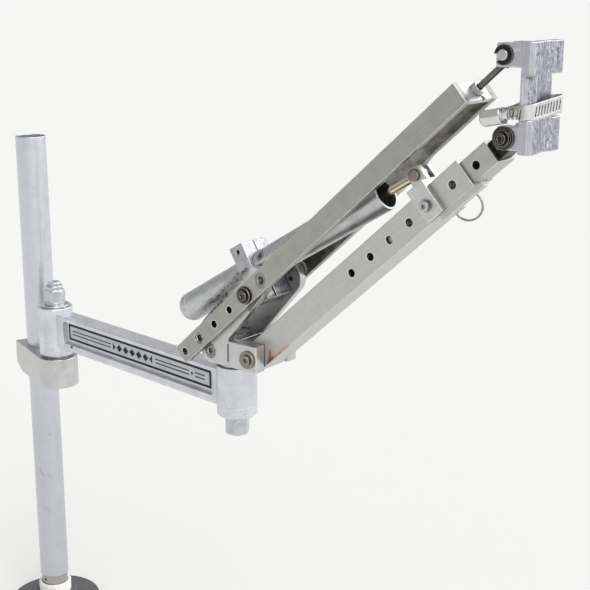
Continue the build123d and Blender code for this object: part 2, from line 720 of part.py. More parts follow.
def head_clips():
    near = retaining_clip(HEAD_HALF, HEAD_HALF + 1.3)
    return Pos(0, 0, PIVOT_GAP) * (near + retaining_clip(-11.9, -10.6))


def head_bolt():
    bolt = cross(PIN_R, -26, 30)
    nut = hexagon(15.9, -31, -24.6) & post(8.6, -32, -24)
    return bolt + crosswise(nut) - crosswise(hexagon(4.5, 27.5, 32))


def head_washers():
    near = cross_ring(10.2, PIN_R, 23.0, 24.6) + cross_ring(7.4, PIN_R, 24.6, 27.4)
    return near + cross_ring(10.2, PIN_R, -24.6, -23.0)


def band_height(x, side):
    """Height of the band's middle line, which climbs to the front and to the far side."""
    x0, side0, z0 = BAND_MIDDLE
    return z0 + (x - x0) * tan(radians(BAND_PITCH)) + (side0 - side) * tan(radians(BAND_ROLL))


def band_slots():
    """Slightly inclined slots along the band's near side and front; SLOTTED counts them by stretch."""
    slots = Part()
    for stretch, count in SLOTTED.items():
        (x0, side0), (x1, side1) = BAND_PATH[stretch:stretch + 2]
        turn = degrees(atan2(side0 - side1, x1 - x0))
        for index in range(count):
            part = (index + 0.5) / count
            x, side = x0 + (x1 - x0) * part, side0 + (side1 - side0) * part
            place = Pos(x, -side, band_height(x, side))
            slots += place * Rot(0, 0, turn) * Rot(0, 8, 0) * Box(1.4, 4, 9)
    return slots


def hose_band():
    """Band that lies close on the head's near side and bulges out in front and behind."""
    path = [(x, -side) for x, side in BAND_PATH]
    inner = make_face(FilletPolyline(*path, radius=3.0, close=True))
    wall = Pos(0, 0, NECK_LOW + GAP) * extrude(offset(inner, BAND_T) - inner, NECK_HIGH - NECK_LOW)
    x0, side0, z0 = BAND_MIDDLE
    layer = Pos(x0, -side0, z0) * Rot(BAND_ROLL, -BAND_PITCH, 0) * Box(160, 160, BAND_WIDTH)
    return (wall & layer) - band_slots()


HOUSING_HALF = 10.0
HOUSING_R = 7.0
HOUSING_IN = 30.5
WORM_SIDE = HOUSING_IN + HOUSING_R
WORM_FRAME = Pos(-4.0, -WORM_SIDE, 18.5) * Rot(0, -12.0, 0)


def worm_housing():
    body = lengthwise(HOUSING_R, -HOUSING_HALF, HOUSING_HALF)
    body = fillet(body.edges().group_by(Axis.X)[0], 4.0)
    body += slab(3 - HOUSING_HALF, HOUSING_HALF, -HOUSING_R, 0, -HOUSING_R, HOUSING_R)
    return WORM_FRAME * (body - lengthwise(5.3, 2 - HOUSING_HALF, HOUSING_HALF + 1))


def worm_screw():
    end = HOUSING_HALF + 0.5
    body = lengthwise(5.0, 3 - HOUSING_HALF, end)
    head = hexagon(8.0, end, end + 5) - block(-5, 5, -0.6, 0.6, end + 3.5, end + 8)
    return WORM_FRAME * (body + Rot(0, 90, 0) * head)


# Output -------------------------------------------------------------------------------------------

def save_post():
    save("base_flange", base_flange())
    save("post_collar", post_collar())
    save("post_spigot", post_spigot())
    save("post_screws", post_screws())
    save("post_tube", post_tube())


def save_clamp():
    pivot = Location((LINK_XY[0], LINK_XY[1], 0))
    save("clamp_block", clamp_block(), CLAMP_FRAME)
    save("clamp_cap", clamp_cap(), CLAMP_FRAME)
    save("clamp_screws", clamp_screws(), CLAMP_FRAME)
    save("link_bolt", link_bolt(), pivot)
    save("link_nut", link_nut(), pivot)
    save("link_washers", link_washers(), pivot)


def save_link():
    save("link_casting", link_casting(), LINK_FRAME)
    save("label_plate", label_plate(), LINK_FRAME)
    save("boss_bushes", boss_bushes(), LINK_FRAME)


def save_bracket():
    save("base_block", base_block(), BRACKET_FRAME)
    save("near_cheek", cheek(NEAR_TOP), BRACKET_FRAME)
    save("far_cheek", mirror(cheek(FAR_TOP), Plane.XZ), BRACKET_FRAME)
    save("cheek_screws", cheek_screws(), BRACKET_FRAME)
    save("swivel_shaft", swivel_shaft(), SWIVEL_FRAME)
    save("swivel_washers", swivel_washers(), SWIVEL_FRAME)
    save("swivel_nut", swivel_nut(), SWIVEL_FRAME)
    save("pivot_bolts", pivot_bolts(), BRACKET_FRAME)
    save("pivot_washers", pivot_washers(), BRACKET_FRAME)


def save_lower_arm():
    save("lower_tube", lower_tube(), LOWER_FRAME)
    save("lower_bushes", lower_bushes(), LOWER_FRAME)
    save("near_clevis", clevis_plate(CLEVIS_TO), LOWER_FRAME)
    save("far_clevis", mirror(clevis_plate(LATCH[0] - 6.1), Plane.XZ), LOWER_FRAME)
    save("lower_arm_screws", lower_arm_screws(), LOWER_FRAME)
    save("strut_pin", strut_pin(), LOWER_FRAME)
    save("strut_clevis", strut_clevis(), LOWER_FRAME)
    save("guide_lip", guide_lip(), LOWER_FRAME)
    save("latch_barrel", latch_barrel(), LOWER_FRAME)
    save("extension_bar", extension_bar(), LOWER_FRAME)
    save("tongue", tongue(), LOWER_FRAME)
    save("latch_pin", latch_pin(), LOWER_FRAME)
    save("latch_spring", latch_spring(), LOWER_FRAME)
    save("pull_ring", pull_ring(), LOWER_FRAME)


def save_upper_arm():
    save("near_bar", near_bar(), UPPER_FRAME)
    save("far_bar", far_bar(), UPPER_FRAME)
    save("end_plate", end_plate(), UPPER_FRAME)
    save("bar_bushes", bar_bushes(), UPPER_FRAME)
    save("lock_nut", lock_nut(), UPPER_FRAME)
    save("adjuster_rod", adjuster_rod(), UPPER_FRAME)
    save("adjuster_eye", adjuster_eye(), UPPER_FRAME)


def save_strut():
    save("strut_tube", strut_tube(), STRUT_FRAME)
    save("strut_cap", strut_cap(), STRUT_FRAME)
    save("gas_cylinder", gas_cylinder(), STRUT_FRAME)
    save("trunnion_collar", trunnion_collar(), STRUT_FRAME)
    save("pinch_screw", pinch_screw(), STRUT_FRAME)
    save("piston_rod", piston_rod(), STRUT_FRAME)
    save("rod_eye", rod_eye(), STRUT_FRAME)


def save_head():
    save("head_body", head_body(), HEAD_FRAME)
    save("head_pin", head_pin(), HEAD_FRAME)
    save("head_clips", head_clips(), HEAD_FRAME)
    save("head_bolt", head_bolt(), HEAD_FRAME)
    save("head_washers", head_washers(), HEAD_FRAME)
    save("hose_band", hose_band(), HEAD_FRAME)
    save("worm_housing", worm_housing(), HEAD_FRAME)
    save("worm_screw", worm_screw(), HEAD_FRAME)


os.makedirs("parts", exist_ok=True)
save_post()
save_clamp()
save_link()
save_bracket()
save_lower_arm()
save_upper_arm()
save_strut()
save_head()
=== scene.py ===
"""Looks for the articulated tool-support arm: finishes, wear, printed label, threads, stage and camera.

Lengths are metres in the same frame as the CAD model.  Marks and wear are placed in each part's own
directions: "along" the part, "side" across it and "up" square to both.
"""
import json
import math

import bmesh
import bpy
from mathutils import Matrix, Vector


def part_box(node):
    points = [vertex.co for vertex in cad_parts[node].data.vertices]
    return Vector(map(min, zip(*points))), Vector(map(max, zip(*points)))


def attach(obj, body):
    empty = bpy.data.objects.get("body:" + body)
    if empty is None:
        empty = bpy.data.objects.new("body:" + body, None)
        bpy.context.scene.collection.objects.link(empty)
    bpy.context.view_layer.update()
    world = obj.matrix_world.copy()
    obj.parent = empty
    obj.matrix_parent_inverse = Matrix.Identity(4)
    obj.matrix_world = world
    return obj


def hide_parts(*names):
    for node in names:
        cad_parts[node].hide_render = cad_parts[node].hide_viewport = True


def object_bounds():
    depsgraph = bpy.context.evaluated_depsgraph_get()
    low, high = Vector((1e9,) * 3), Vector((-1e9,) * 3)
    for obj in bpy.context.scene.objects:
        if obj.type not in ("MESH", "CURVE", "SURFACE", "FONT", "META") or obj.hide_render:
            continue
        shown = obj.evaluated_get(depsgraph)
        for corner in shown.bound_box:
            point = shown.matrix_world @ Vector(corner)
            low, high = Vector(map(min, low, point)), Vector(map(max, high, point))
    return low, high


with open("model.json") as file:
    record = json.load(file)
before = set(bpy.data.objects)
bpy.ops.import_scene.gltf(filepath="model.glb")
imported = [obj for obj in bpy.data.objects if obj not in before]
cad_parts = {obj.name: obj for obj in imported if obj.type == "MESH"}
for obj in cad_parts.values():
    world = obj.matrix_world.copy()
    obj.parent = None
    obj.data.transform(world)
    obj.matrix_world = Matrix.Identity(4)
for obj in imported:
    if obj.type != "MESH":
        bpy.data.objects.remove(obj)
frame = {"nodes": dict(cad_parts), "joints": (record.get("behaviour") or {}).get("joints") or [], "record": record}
CAD_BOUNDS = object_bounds()

MM = 0.001
PIVOT = {joint["name"]: Vector(joint["pos_m"]) for joint in frame["joints"] if "pos_m" in joint}
LOWER = PIVOT["lift"]
UPPER = PIVOT["upper_lift"]
HEAD = PIVOT["head_level"]
LINK = PIVOT["link_swing"]
SWIVEL = PIVOT["bracket_swivel"]
EYE = PIVOT["rod_swing"]
PIVOT_AXIS = next(joint["axis"] for joint in frame["joints"] if joint["name"] == "ring_swing")


def frame_at(origin, along):
    """World matrix of a part whose X runs along it and whose Z is as upright as it can be."""
    x = along.normalized()
    y = Vector((0, 0, 1)).cross(x).normalized()
    z = x.cross(y)
    turn = Matrix((x, y, z)).transposed().to_4x4()
    return Matrix.Translation(origin) @ turn


WORLD = Matrix.Identity(4)
LINK_FRAME = frame_at(Vector((LINK.x, LINK.y, 0)), Vector((SWIVEL.x - LINK.x, SWIVEL.y - LINK.y, 0)))
LOWER_FRAME = frame_at(LOWER, HEAD - LOWER)
UPPER_FRAME = frame_at(UPPER, HEAD - LOWER)
STRUT_RISE = 23.1 * MM
STRUT_LIFT = math.atan2(EYE.z - UPPER.z, EYE.x - UPPER.x) - math.asin(STRUT_RISE / (EYE - UPPER).length)
STRUT_FRAME = frame_at(UPPER, Vector((math.cos(STRUT_LIFT), 0, math.sin(STRUT_LIFT))))
BRACKET = Matrix.Translation(LOWER)
HEAD_FRAME = Matrix.Translation(HEAD)


# Node helper ----------------------------------------------------------------------------------------

class Finish:
    """One node material.  Its helpers add nodes and return the socket that the next one uses."""

    def __init__(self, name, metallic, place=WORLD):
        self.material = bpy.data.materials.new(name)
        self.material.use_nodes = True
        self.tree = self.material.node_tree
        self.shader = self.tree.nodes["Principled BSDF"]
        self.shader.inputs["Metallic"].default_value = metallic
        self.where = self.local(place)
        self.rounded = None

    def node(self, kind, inputs=None, **settings):
        new = self.tree.nodes.new(kind)
        for key, value in settings.items():
            setattr(new, key, value)
        for key, value in (inputs or {}).items():
            self.feed(new.inputs[key], value)
        return new

    def feed(self, socket, value):
        if isinstance(value, bpy.types.NodeSocket):
            self.tree.links.new(value, socket)
        else:
            socket.default_value = value

    def local(self, place):
        """Object coordinates in millimetres, in the directions of one part."""
        coords = self.node("ShaderNodeTexCoord").outputs["Object"]
        inverse = place.inverted()
        turn = inverse.to_euler("XYZ")
        mapped = self.node("ShaderNodeMapping", {
            "Vector": coords,
            "Location": inverse.to_translation() / MM,
            "Rotation": turn,
            "Scale": (1 / MM,) * 3,
        })
        return mapped.outputs["Vector"]

    def math(self, operation, *values):
        node = self.node("ShaderNodeMath", dict(enumerate(values)), operation=operation)
        return node.outputs[0]

    def vector(self, operation, *values):
        return self.node("ShaderNodeVectorMath", dict(enumerate(values)), operation=operation).outputs[0]

    def part(self, axis, vector=None):
        """One coordinate, X, Y or Z, of a vector."""
        return self.node("ShaderNodeSeparateXYZ", {0: vector or self.where}).outputs[axis]

    def noise(self, size, stretch=(1, 1, 1), detail=3.0, seed=0.0):
        """Noise with features of about size millimetres, longer by stretch along each direction."""
        scale = tuple(1 / (size * s) for s in stretch)
        shifted = self.vector("ADD", self.vector("MULTIPLY", self.where, scale), (seed, seed * 1.7, -seed))
        inputs = {"Vector": shifted, "Scale": 1.0, "Detail": detail}
        return self.node("ShaderNodeTexNoise", inputs).outputs["Fac"]

    def ramp(self, value, low, high, to_low=0.0, to_high=1.0):
        """Map low..high to to_low..to_high, held at the ends."""
        inputs = {0: value, 1: low, 2: high, 3: to_low, 4: to_high}
        return self.node("ShaderNodeMapRange", inputs, clamp=True).outputs[0]

    def mix(self, factor, colour_a, colour_b, blend="MIX"):
        node = self.node("ShaderNodeMix", data_type="RGBA", blend_type=blend)
        self.feed(node.inputs[0], factor)
        self.feed(node.inputs[6], rgba(colour_a))
        self.feed(node.inputs[7], rgba(colour_b))
        return node.outputs[2]

    def spot(self, centre, size, ragged=0.5, grain=3.0, sharp=0.35):
        """Mask of a ragged patch: 1 inside an ellipsoid of half-sizes size (mm) round centre (mm)."""
        offset = self.vector("SUBTRACT", self.where, centre)
        scaled = self.vector("DIVIDE", offset, size)
        distance = self.node("ShaderNodeVectorMath", {0: scaled}, operation="LENGTH").outputs["Value"]
        noise = self.noise(grain, seed=centre[0] * 0.37)
        rough = self.math("MULTIPLY", self.math("SUBTRACT", noise, 0.5), ragged * 2)
        return self.ramp(self.math("ADD", distance, rough), 1.0 + sharp, 1.0 - sharp)

    def stroke(self, start, end, width, ragged=0.4):
        """Mask of a line from start to end (mm) that fades at its sides and breaks up along it."""
        start, end = Vector(start), Vector(end)
        along = (end - start)
        offset = self.vector("SUBTRACT", self.where, tuple(start))
        share = self.node("ShaderNodeVectorMath", {0: offset, 1: tuple(along / along.length_squared)},
                          operation="DOT_PRODUCT").outputs["Value"]
        share = self.math("MINIMUM", self.math("MAXIMUM", share, 0.0), 1.0)
        nearest = self.node("ShaderNodeVectorMath", {0: tuple(along)}, operation="SCALE")
        self.feed(nearest.inputs["Scale"], share)
        gap = self.vector("SUBTRACT", offset, nearest.outputs[0])
        distance = self.node("ShaderNodeVectorMath", {0: gap}, operation="LENGTH").outputs["Value"]
        rough = self.math("MULTIPLY", self.noise(1.5, seed=start.x * 0.13), ragged * width * 2)
        return self.ramp(self.math("ADD", distance, rough), width * 1.4, width * 0.6)

    def part_of(self, mask, share):
        """A mask made weaker."""
        return self.math("MULTIPLY", mask, share)

    def specks(self, size, limit, seed=0.0):
        """Mask of scattered small specks; a higher limit gives more of them."""
        return self.ramp(self.noise(size, detail=2.0, seed=seed), limit, limit - 0.03)

    def band(self, value, low, high, soft=0.15):
        """Mask of the values between low and high."""
        above = self.ramp(value, low - soft, low + soft)
        below = self.ramp(value, high + soft, high - soft)
        return self.math("MINIMUM", above, below)

    def panel(self, x0, x1, z0, z1):
        """Mask of an upright rectangle in the part's own X and Z (mm)."""
        return self.math("MINIMUM", self.band(self.part(0), x0, x1), self.band(self.part(2), z0, z1))

    def apart(self, x, z):
        """Distance (mm) from the cross line through (x, z)."""
        offset = self.vector("MULTIPLY", self.vector("SUBTRACT", self.where, (x, 0, z)), (1, 0, 1))
        return self.node("ShaderNodeVectorMath", {0: offset}, operation="LENGTH").outputs["Value"]

    def circle(self, x, z, radius, width):
        """Mask of a ring drawn round (x, z) on the part's sides."""
        gap = self.math("ABSOLUTE", self.math("SUBTRACT", self.apart(x, z), radius))
        return self.ramp(gap, width, width * 0.4)

    def disc(self, x, z, radius):
        """Mask of everything within radius of the cross line through (x, z)."""
        return self.ramp(self.apart(x, z), radius + 0.15, radius - 0.15)

    def edges(self, radius=1.5):
        """Mask of outside edges, with the rounded normal that softens them."""
        rounded = self.node("ShaderNodeBevel", {"Radius": radius * MM}, samples=6).outputs[0]
        normal = self.node("ShaderNodeNewGeometry").outputs["Normal"]
        match = self.node("ShaderNodeVectorMath", {0: rounded, 1: normal},
                          operation="DOT_PRODUCT").outputs["Value"]
        self.rounded = rounded
        return self.ramp(match, 0.994, 0.92)

    def either(self, *masks):
        """The strongest of several masks."""
        result = masks[0]
        for mask in masks[1:]:
            result = self.math("MAXIMUM", result, mask)
        return result

    def painted_crevice_shade(self, distance=5.0, strength=1.0):
        """Mask of inside corners and gaps from ambient occlusion; the finishes darken colour with it as painted
        shade.
        """
        occlusion = self.node("ShaderNodeAmbientOcclusion", {"Distance": distance * MM}, samples=6)
        return self.ramp(occlusion.outputs["AO"], 0.75, 0.25, 0.0, strength)

    def finish(self, colour, roughness, height=None, depth=0.1):
        """Connect the last sockets.  height is a 0..1 pattern and depth its size in millimetres."""
        self.feed(self.shader.inputs["Base Color"], colour)
        self.feed(self.shader.inputs["Roughness"], roughness)
        if height is not None:
            bump = self.node("ShaderNodeBump", {"Height": height, "Distance": depth * MM, "Strength": 1.0})
            if self.rounded:
                self.feed(bump.inputs["Normal"], self.rounded)
            self.feed(self.shader.inputs["Normal"], bump.outputs["Normal"])
        return self.material


def rgba(value):
    if isinstance(value, bpy.types.NodeSocket):
        return value
    return (*value, 1.0) if len(value) == 3 else value


# Finishes -------------------------------------------------------------------------------------------

DIRT = (0.035, 0.032, 0.030)
BROWN = (0.13, 0.085, 0.05)
RUST = (0.45, 0.17, 0.035)
# Near-black painted shade inside holes.
BORE_SHADE = (0.015, 0.015, 0.015)
WHITE = (0.92, 0.92, 0.93)
MACHINED = (0.58, 0.58, 0.58)
BAR_TONE = (0.385, 0.385, 0.36)


def brushed(finish, tone, grain, mottle, lines):
    """Cloudy bare metal with fine lines along the grain; returns its colour, lines and clouds."""
    clouds = finish.noise(14.0, detail=5.0)
    streaks = finish.noise(0.7, stretch=grain, detail=4.0, seed=3)
    dark = tuple(c * (1 - mottle - lines) for c in tone)
    light = tuple(min(1.0, c * (1 + mottle + lines)) for c in tone)
    share = finish.math("ADD", finish.math("MULTIPLY", clouds, mottle / (mottle + lines)),
                        finish.math("MULTIPLY", streaks, lines / (mottle + lines)))
    colour = finish.mix(finish.ramp(share, 0.3, 0.7), dark, light)
    return colour, streaks, clouds


def metal(name, tone, rough, place=WORLD, grain=(1, 1, 1), mottle=0.10, lines=0.10, marks=None,
          depth=0.03, wear=WHITE, metallic=1.0):
    """Bare metal with edges lightened towards wear, partly worn metal and partly painted highlight, and painted
    shade in its corners; marks takes the finish and the colour and returns the marked colour.
    """
    finish = Finish(name, metallic, place)
    colour, streaks, clouds = brushed(finish, tone, grain, mottle, lines)
    pits = finish.specks(1.6, 0.29, 9)
    colour = finish.mix(finish.part_of(pits, 0.5), colour, tuple(c * 0.35 for c in tone))
    if marks:
        colour = marks(finish, colour)
    # Edges lightened towards wear: partly worn metal, partly a painted highlight along the edges.
    edge = finish.edges()
    worn_and_lit_edge = finish.math("MULTIPLY", edge, finish.ramp(finish.noise(5.0, seed=21), 0.35, 0.6, 0.45, 0.95))
    colour = finish.mix(worn_and_lit_edge, colour, wear)
    # Painted shade: colour darkened towards a darker copy of the tone in corners and gaps.
    colour = finish.mix(finish.painted_crevice_shade(3.0, 0.75), colour, tuple(c * 0.2 for c in tone))
    roughness = finish.math("ADD", finish.ramp(clouds, 0.3, 0.7, rough - 0.05, rough + 0.07),
                            finish.ramp(streaks, 0.3, 0.7, -0.04, 0.06))
    return finish.finish(colour, roughness, streaks, depth)


def plain(name, colour, rough, metallic=0.0, mottle=0.12, size=6.0, depth=0.02):
    finish = Finish(name, metallic)
    clouds = finish.noise(size, detail=4.0)
    dark = tuple(c * (1 - mottle) for c in colour)
    light = tuple(min(1.0, c * (1 + mottle)) for c in colour)
    shade = finish.mix(finish.ramp(clouds, 0.3, 0.7), dark, light)
    # Painted shade: colour darkened in corners and gaps.
    shade = finish.mix(finish.painted_crevice_shade(3.0, 0.6), shade, tuple(c * 0.3 for c in colour))
    finish.edges()  # only for the rounded normal
    return finish.finish(shade, finish.ramp(clouds, 0.3, 0.7, rough - 0.06, rough + 0.08),
                         finish.noise(0.8, detail=2.0), depth)


def cast_paint():
    """Silver paint over a pebbly casting, with mould lines along the beam."""
    finish = Finish("cast_paint", 0.8, LINK_FRAME)
    pebbles = finish.noise(2.0, detail=2.0)
    fine = finish.noise(0.8, detail=2.0, seed=5)
    clouds = finish.noise(18.0, detail=4.0, seed=2)
    colour = finish.mix(finish.ramp(clouds, 0.3, 0.7), (0.60, 0.61, 0.64), (0.74, 0.75, 0.79))
    colour = finish.mix(finish.ramp(pebbles, 0.42, 0.28, 0.0, 0.4), colour, (0.36, 0.36, 0.39))
    colour = finish.mix(finish.part_of(finish.specks(1.8, 0.27, 7), 0.7), colour, DIRT)
    notch = finish.spot((50, -12, 408), (2.5, 3, 1.8))
    rusty = finish.spot((3, -16, 451), (5, 5, 2))
    colour = finish.mix(notch, colour, DIRT)
    colour = finish.mix(finish.part_of(rusty, 0.6), colour, RUST)
    # Edges lightened towards white: partly worn paint, partly a painted highlight along the edges.
    edge = finish.edges(1.2)
    colour = finish.mix(finish.part_of(edge, 0.45), colour, WHITE)
    # Painted shade: colour darkened in corners and gaps.
    colour = finish.mix(finish.painted_crevice_shade(3.5, 0.6), colour, (0.12, 0.12, 0.12))
    across = finish.math("ABSOLUTE", finish.part(1))
    lines = finish.either(finish.band(across, 7.2, 7.9), finish.band(finish.part(2), 405.4, 406.0))
    height = finish.math("ADD", finish.math("MULTIPLY", pebbles, 0.75), finish.math("MULTIPLY", fine, 0.25))
    height = finish.math("SUBTRACT", height, finish.part_of(lines, 0.5))
    return finish.finish(colour, finish.ramp(fine, 0.3, 0.7, 0.28, 0.40), height, 0.35)


def label():
    """Foil label: a black frame, pairs of lines and a plain row of diamonds where a name would be."""
    finish = Finish("label", 0.7, LINK_FRAME)
    middle = 425.15
    outside = finish.panel(39.6, 308.4, 414.8, 435.5)
    inside = finish.panel(42.7, 305.3, 417.6, 432.7)
    frame_line = finish.math("SUBTRACT", outside, inside)
    ink = [frame_line]
    for x0, x1 in ((47, 126), (211, 271), (281, 298)):
        for up in (-2.2, 2.2):
            ink.append(finish.panel(x0, x1, middle + up - 0.7, middle + up + 0.7))
    step = 12.5
    gap_x = finish.math("PINGPONG", finish.math("SUBTRACT", finish.part(0), 130.0), step / 2)
    gap_z = finish.math("ABSOLUTE", finish.math("SUBTRACT", finish.part(2), middle))
    diamond = finish.math("ADD", finish.math("DIVIDE", gap_x, 5.4), finish.math("DIVIDE", gap_z, 4.8))
    row = finish.panel(130.0, 130.0 + 6 * step, 400, 450)
    ink.append(finish.math("MINIMUM", finish.ramp(diamond, 1.03, 0.97), row))
    ink.append(finish.spot((276, -7.6, middle), (1.6, 2, 2.0), ragged=0.1))
    clouds = finish.noise(20.0, detail=4.0)
    foil = finish.mix(finish.ramp(clouds, 0.3, 0.7), (0.42, 0.43, 0.46), (0.55, 0.56, 0.58))
    colour = finish.mix(finish.either(*ink), foil, (0.008, 0.008, 0.009))
    colour = finish.mix(finish.part_of(finish.specks(1.2, 0.27, 3), 0.5), colour, WHITE)
    return finish.finish(colour, finish.ramp(clouds, 0.3, 0.7, 0.30, 0.42), finish.noise(1.0), 0.02)


# Marks ----------------------------------------------------------------------------------------------

HOLE_STEP = 28.6
BORE_R = 4.15
FIRST_HOLE, LAST_HOLE = 162.2, 307.4
BAR_HOLES = [-4 * HOLE_STEP, -2 * HOLE_STEP, -HOLE_STEP]
BACK_BUSH, FRONT_BUSH = -3 * HOLE_STEP, HOLE_STEP
POST_R = 19.05
POST_FRONT = math.radians(-51.8)
POST_SCRATCHES = [
    (-9, 213, -6, 205), (-6, 205, -2, 202), (2, 204, 6, 199), (-4, 156, 1, 152),
    (-17.4, 181, -17.8, 155), (-9, 403, -9, 400), (7, 262, 9, 259), (-3, 251, -1, 250),
]


def on_post(across, z):
    """Point on the post's front, across mm from the middle."""
    deep = math.sqrt(POST_R ** 2 - across ** 2)
    return (deep * math.cos(POST_FRONT) - across * math.sin(POST_FRONT),
            deep * math.sin(POST_FRONT) + across * math.cos(POST_FRONT), z)


def post_marks(finish, colour):
    scratches = [finish.stroke(on_post(a0, z0), on_post(a1, z1), 0.55) for a0, z0, a1, z1 in POST_SCRATCHES]
    colour = finish.mix(finish.part_of(finish.either(*scratches), 0.8), colour, DIRT)
    scuffs = finish.ramp(finish.noise(3.0, stretch=(1, 1, 6), detail=5.0, seed=12), 0.66, 0.72)
    colour = finish.mix(finish.part_of(scuffs, 0.15), colour, WHITE)
    low_down = finish.ramp(finish.part(2), 360.0, 260.0)
    return finish.mix(finish.part_of(low_down, 0.35), colour, (0.45, 0.45, 0.46))


def machined_marks(finish, colour):
    scratches = finish.ramp(finish.noise(1.2, stretch=(9, 9, 1), detail=3.0, seed=31), 0.68, 0.74)
    colour = finish.mix(finish.part_of(finish.specks(2.4, 0.30, 17), 0.5), colour, BROWN)
    return finish.mix(finish.part_of(scratches, 0.3), colour, DIRT)


def near_cheek_marks(finish, colour):
    colour = machined_marks(finish, colour)
    # A dark band: painted shade along the strip above the near bar, with dark specks of dirt in it.
    shade_and_fleck_band = finish.stroke((-72, -28.4, 22), (-6, -28.4, 94), 8.0, 0.35)
    spotted = finish.either(finish.specks(2.6, 0.46, 2), finish.specks(1.2, 0.42, 6))
    colour = finish.mix(finish.part_of(shade_and_fleck_band, 0.6), colour, DIRT)
    colour = finish.mix(finish.math("MULTIPLY", shade_and_fleck_band, finish.part_of(spotted, 0.85)), colour, DIRT)
    front = finish.stroke((19, -28.4, 75), (0, -28.4, 52.5), 3.6, 0.7)
    # A thin dark line at the step's edge: partly a gouge, partly painted shadow of the step.
    gouge_and_step_shadow = finish.stroke((-26.4, -33, 11.5), (-26.7, -33, -6.5), 1.3, 0.2)
    return finish.mix(finish.part_of(finish.either(front, gouge_and_step_shadow), 0.92), colour, DIRT)


def far_cheek_marks(finish, colour):
    colour = machined_marks(finish, colour)
    # The inner face is darkened all over: painted shade between the cheeks. The grime patches on it are dirt.
    inside = finish.ramp(finish.part(1), 19.9, 19.6)
    colour = finish.mix(finish.part_of(inside, 0.30), colour, (0.12, 0.12, 0.12))
    grime = finish.ramp(finish.noise(5.0, detail=5.0, seed=8), 0.55, 0.68)
    colour = finish.mix(finish.math("MULTIPLY", inside, finish.part_of(grime, 0.6)), colour, DIRT)
    return finish.mix(finish.spot((15.6, 19.4, 79), (3, 2, 2.6)), colour, DIRT)


def base_marks(finish, colour):
    """Grease and brown dirt on the shelf between the cheeks."""
    colour = machined_marks(finish, colour)
    top = finish.ramp(finish.part(2), 10.0, 13.0)
    grease = finish.ramp(finish.noise(7.0, detail=5.0, seed=14), 0.50, 0.60)
    colour = finish.mix(finish.part_of(top, 0.35), colour, (0.16, 0.15, 0.14))
    colour = finish.mix(finish.math("MULTIPLY", top, finish.part_of(grease, 0.9)), colour, DIRT)
    brown = finish.ramp(finish.noise(4.0, detail=4.0, seed=5), 0.50, 0.60)
    return finish.mix(finish.math("MULTIPLY", top, finish.part_of(brown, 0.6)), colour, (0.24, 0.14, 0.06))


def bar_marks(finish, colour):
    rings = [(BACK_BUSH, 6.3, 0.5), (FRONT_BUSH, 8.1, 0.5), (FRONT_BUSH, 4.6, 0.8),
             (BACK_BUSH, 4.6, 0.6), (0, 9.0, 0.8)]
    outlines = [finish.circle(along, 0, radius, width) for along, radius, width in rings]
    colour = finish.mix(finish.part_of(finish.either(*outlines), 0.75), colour, DIRT)
    # Painted highlight: a light ring round each hole's edge.
    rim_highlights = [finish.circle(along, 0, 4.5, 0.5) for along in BAR_HOLES]
    colour = finish.mix(finish.part_of(finish.either(*rim_highlights), 0.4), colour, WHITE)
    # Painted shade: the bores and bush holes are darkened to near black.
    shaded_bores = [finish.disc(along, 0, BORE_R) for along in BAR_HOLES]
    shaded_bores += [finish.disc(along, 0, 3.3) for along in (BACK_BUSH, FRONT_BUSH)]
    colour = finish.mix(finish.part_of(finish.either(*shaded_bores), 0.9), colour, BORE_SHADE)
    return finish.mix(finish.part_of(finish.specks(1.3, 0.26, 40), 0.5), colour, DIRT)


def far_bar_marks(finish, colour):
    # The inner face is darkened all over: painted shade between the bars. The brown grime patches and the dark
    # ragged patch near the pivot are marks on it.
    inside = finish.ramp(finish.part(1), 29.2, 29.0)
    grime = finish.ramp(finish.noise(6.0, stretch=(2, 1, 1), detail=6.0, seed=3), 0.46, 0.60)
    near_pivot = finish.spot((52, 28.9, 0), (26, 6, 14), ragged=0.8, grain=8.0)
    colour = finish.mix(finish.part_of(inside, 0.35), colour, (0.16, 0.16, 0.13))
    colour = finish.mix(finish.math("MULTIPLY", inside, finish.part_of(grime, 0.5)), colour, BROWN)
    return finish.mix(finish.part_of(near_pivot, 0.7), colour, DIRT)


def tube_marks(finish, colour):
    holes = [FIRST_HOLE + HOLE_STEP * index for index in range(5)] + [LAST_HOLE]
    # Painted highlight: a light ring round each hole's edge.
    rim_highlights = [finish.circle(along, 0, 4.6, 0.5) for along in holes]
    colour = finish.mix(finish.part_of(finish.either(*rim_highlights), 0.4), colour, WHITE)
    # Painted shade: the bores are darkened to near black.
    shaded_bores = [finish.disc(along, 0, BORE_R) for along in holes]
    colour = finish.mix(finish.part_of(finish.either(*shaded_bores), 0.9), colour, BORE_SHADE)
    low = finish.stroke((10, -19, -14.2), (46, -19, -14.6), 2.6, 0.45)
    up = finish.stroke((11, -19, -14), (21, -19, -5), 2.2, 0.45)
    wash = finish.spot((24, -19, -11), (15, 4, 6), ragged=0.8)
    corner = finish.stroke((10, -19, -14), (19, -19, -12), 3.2, 0.4)
    colour = finish.mix(finish.part_of(wash, 0.3), colour, (0.40, 0.27, 0.14))
    colour = finish.mix(finish.either(low, up), colour, RUST)
    colour = finish.mix(finish.part_of(corner, 0.75), colour, (0.12, 0.05, 0.015))
    return finish.mix(finish.part_of(finish.specks(1.5, 0.27, 23), 0.5), colour, DIRT)


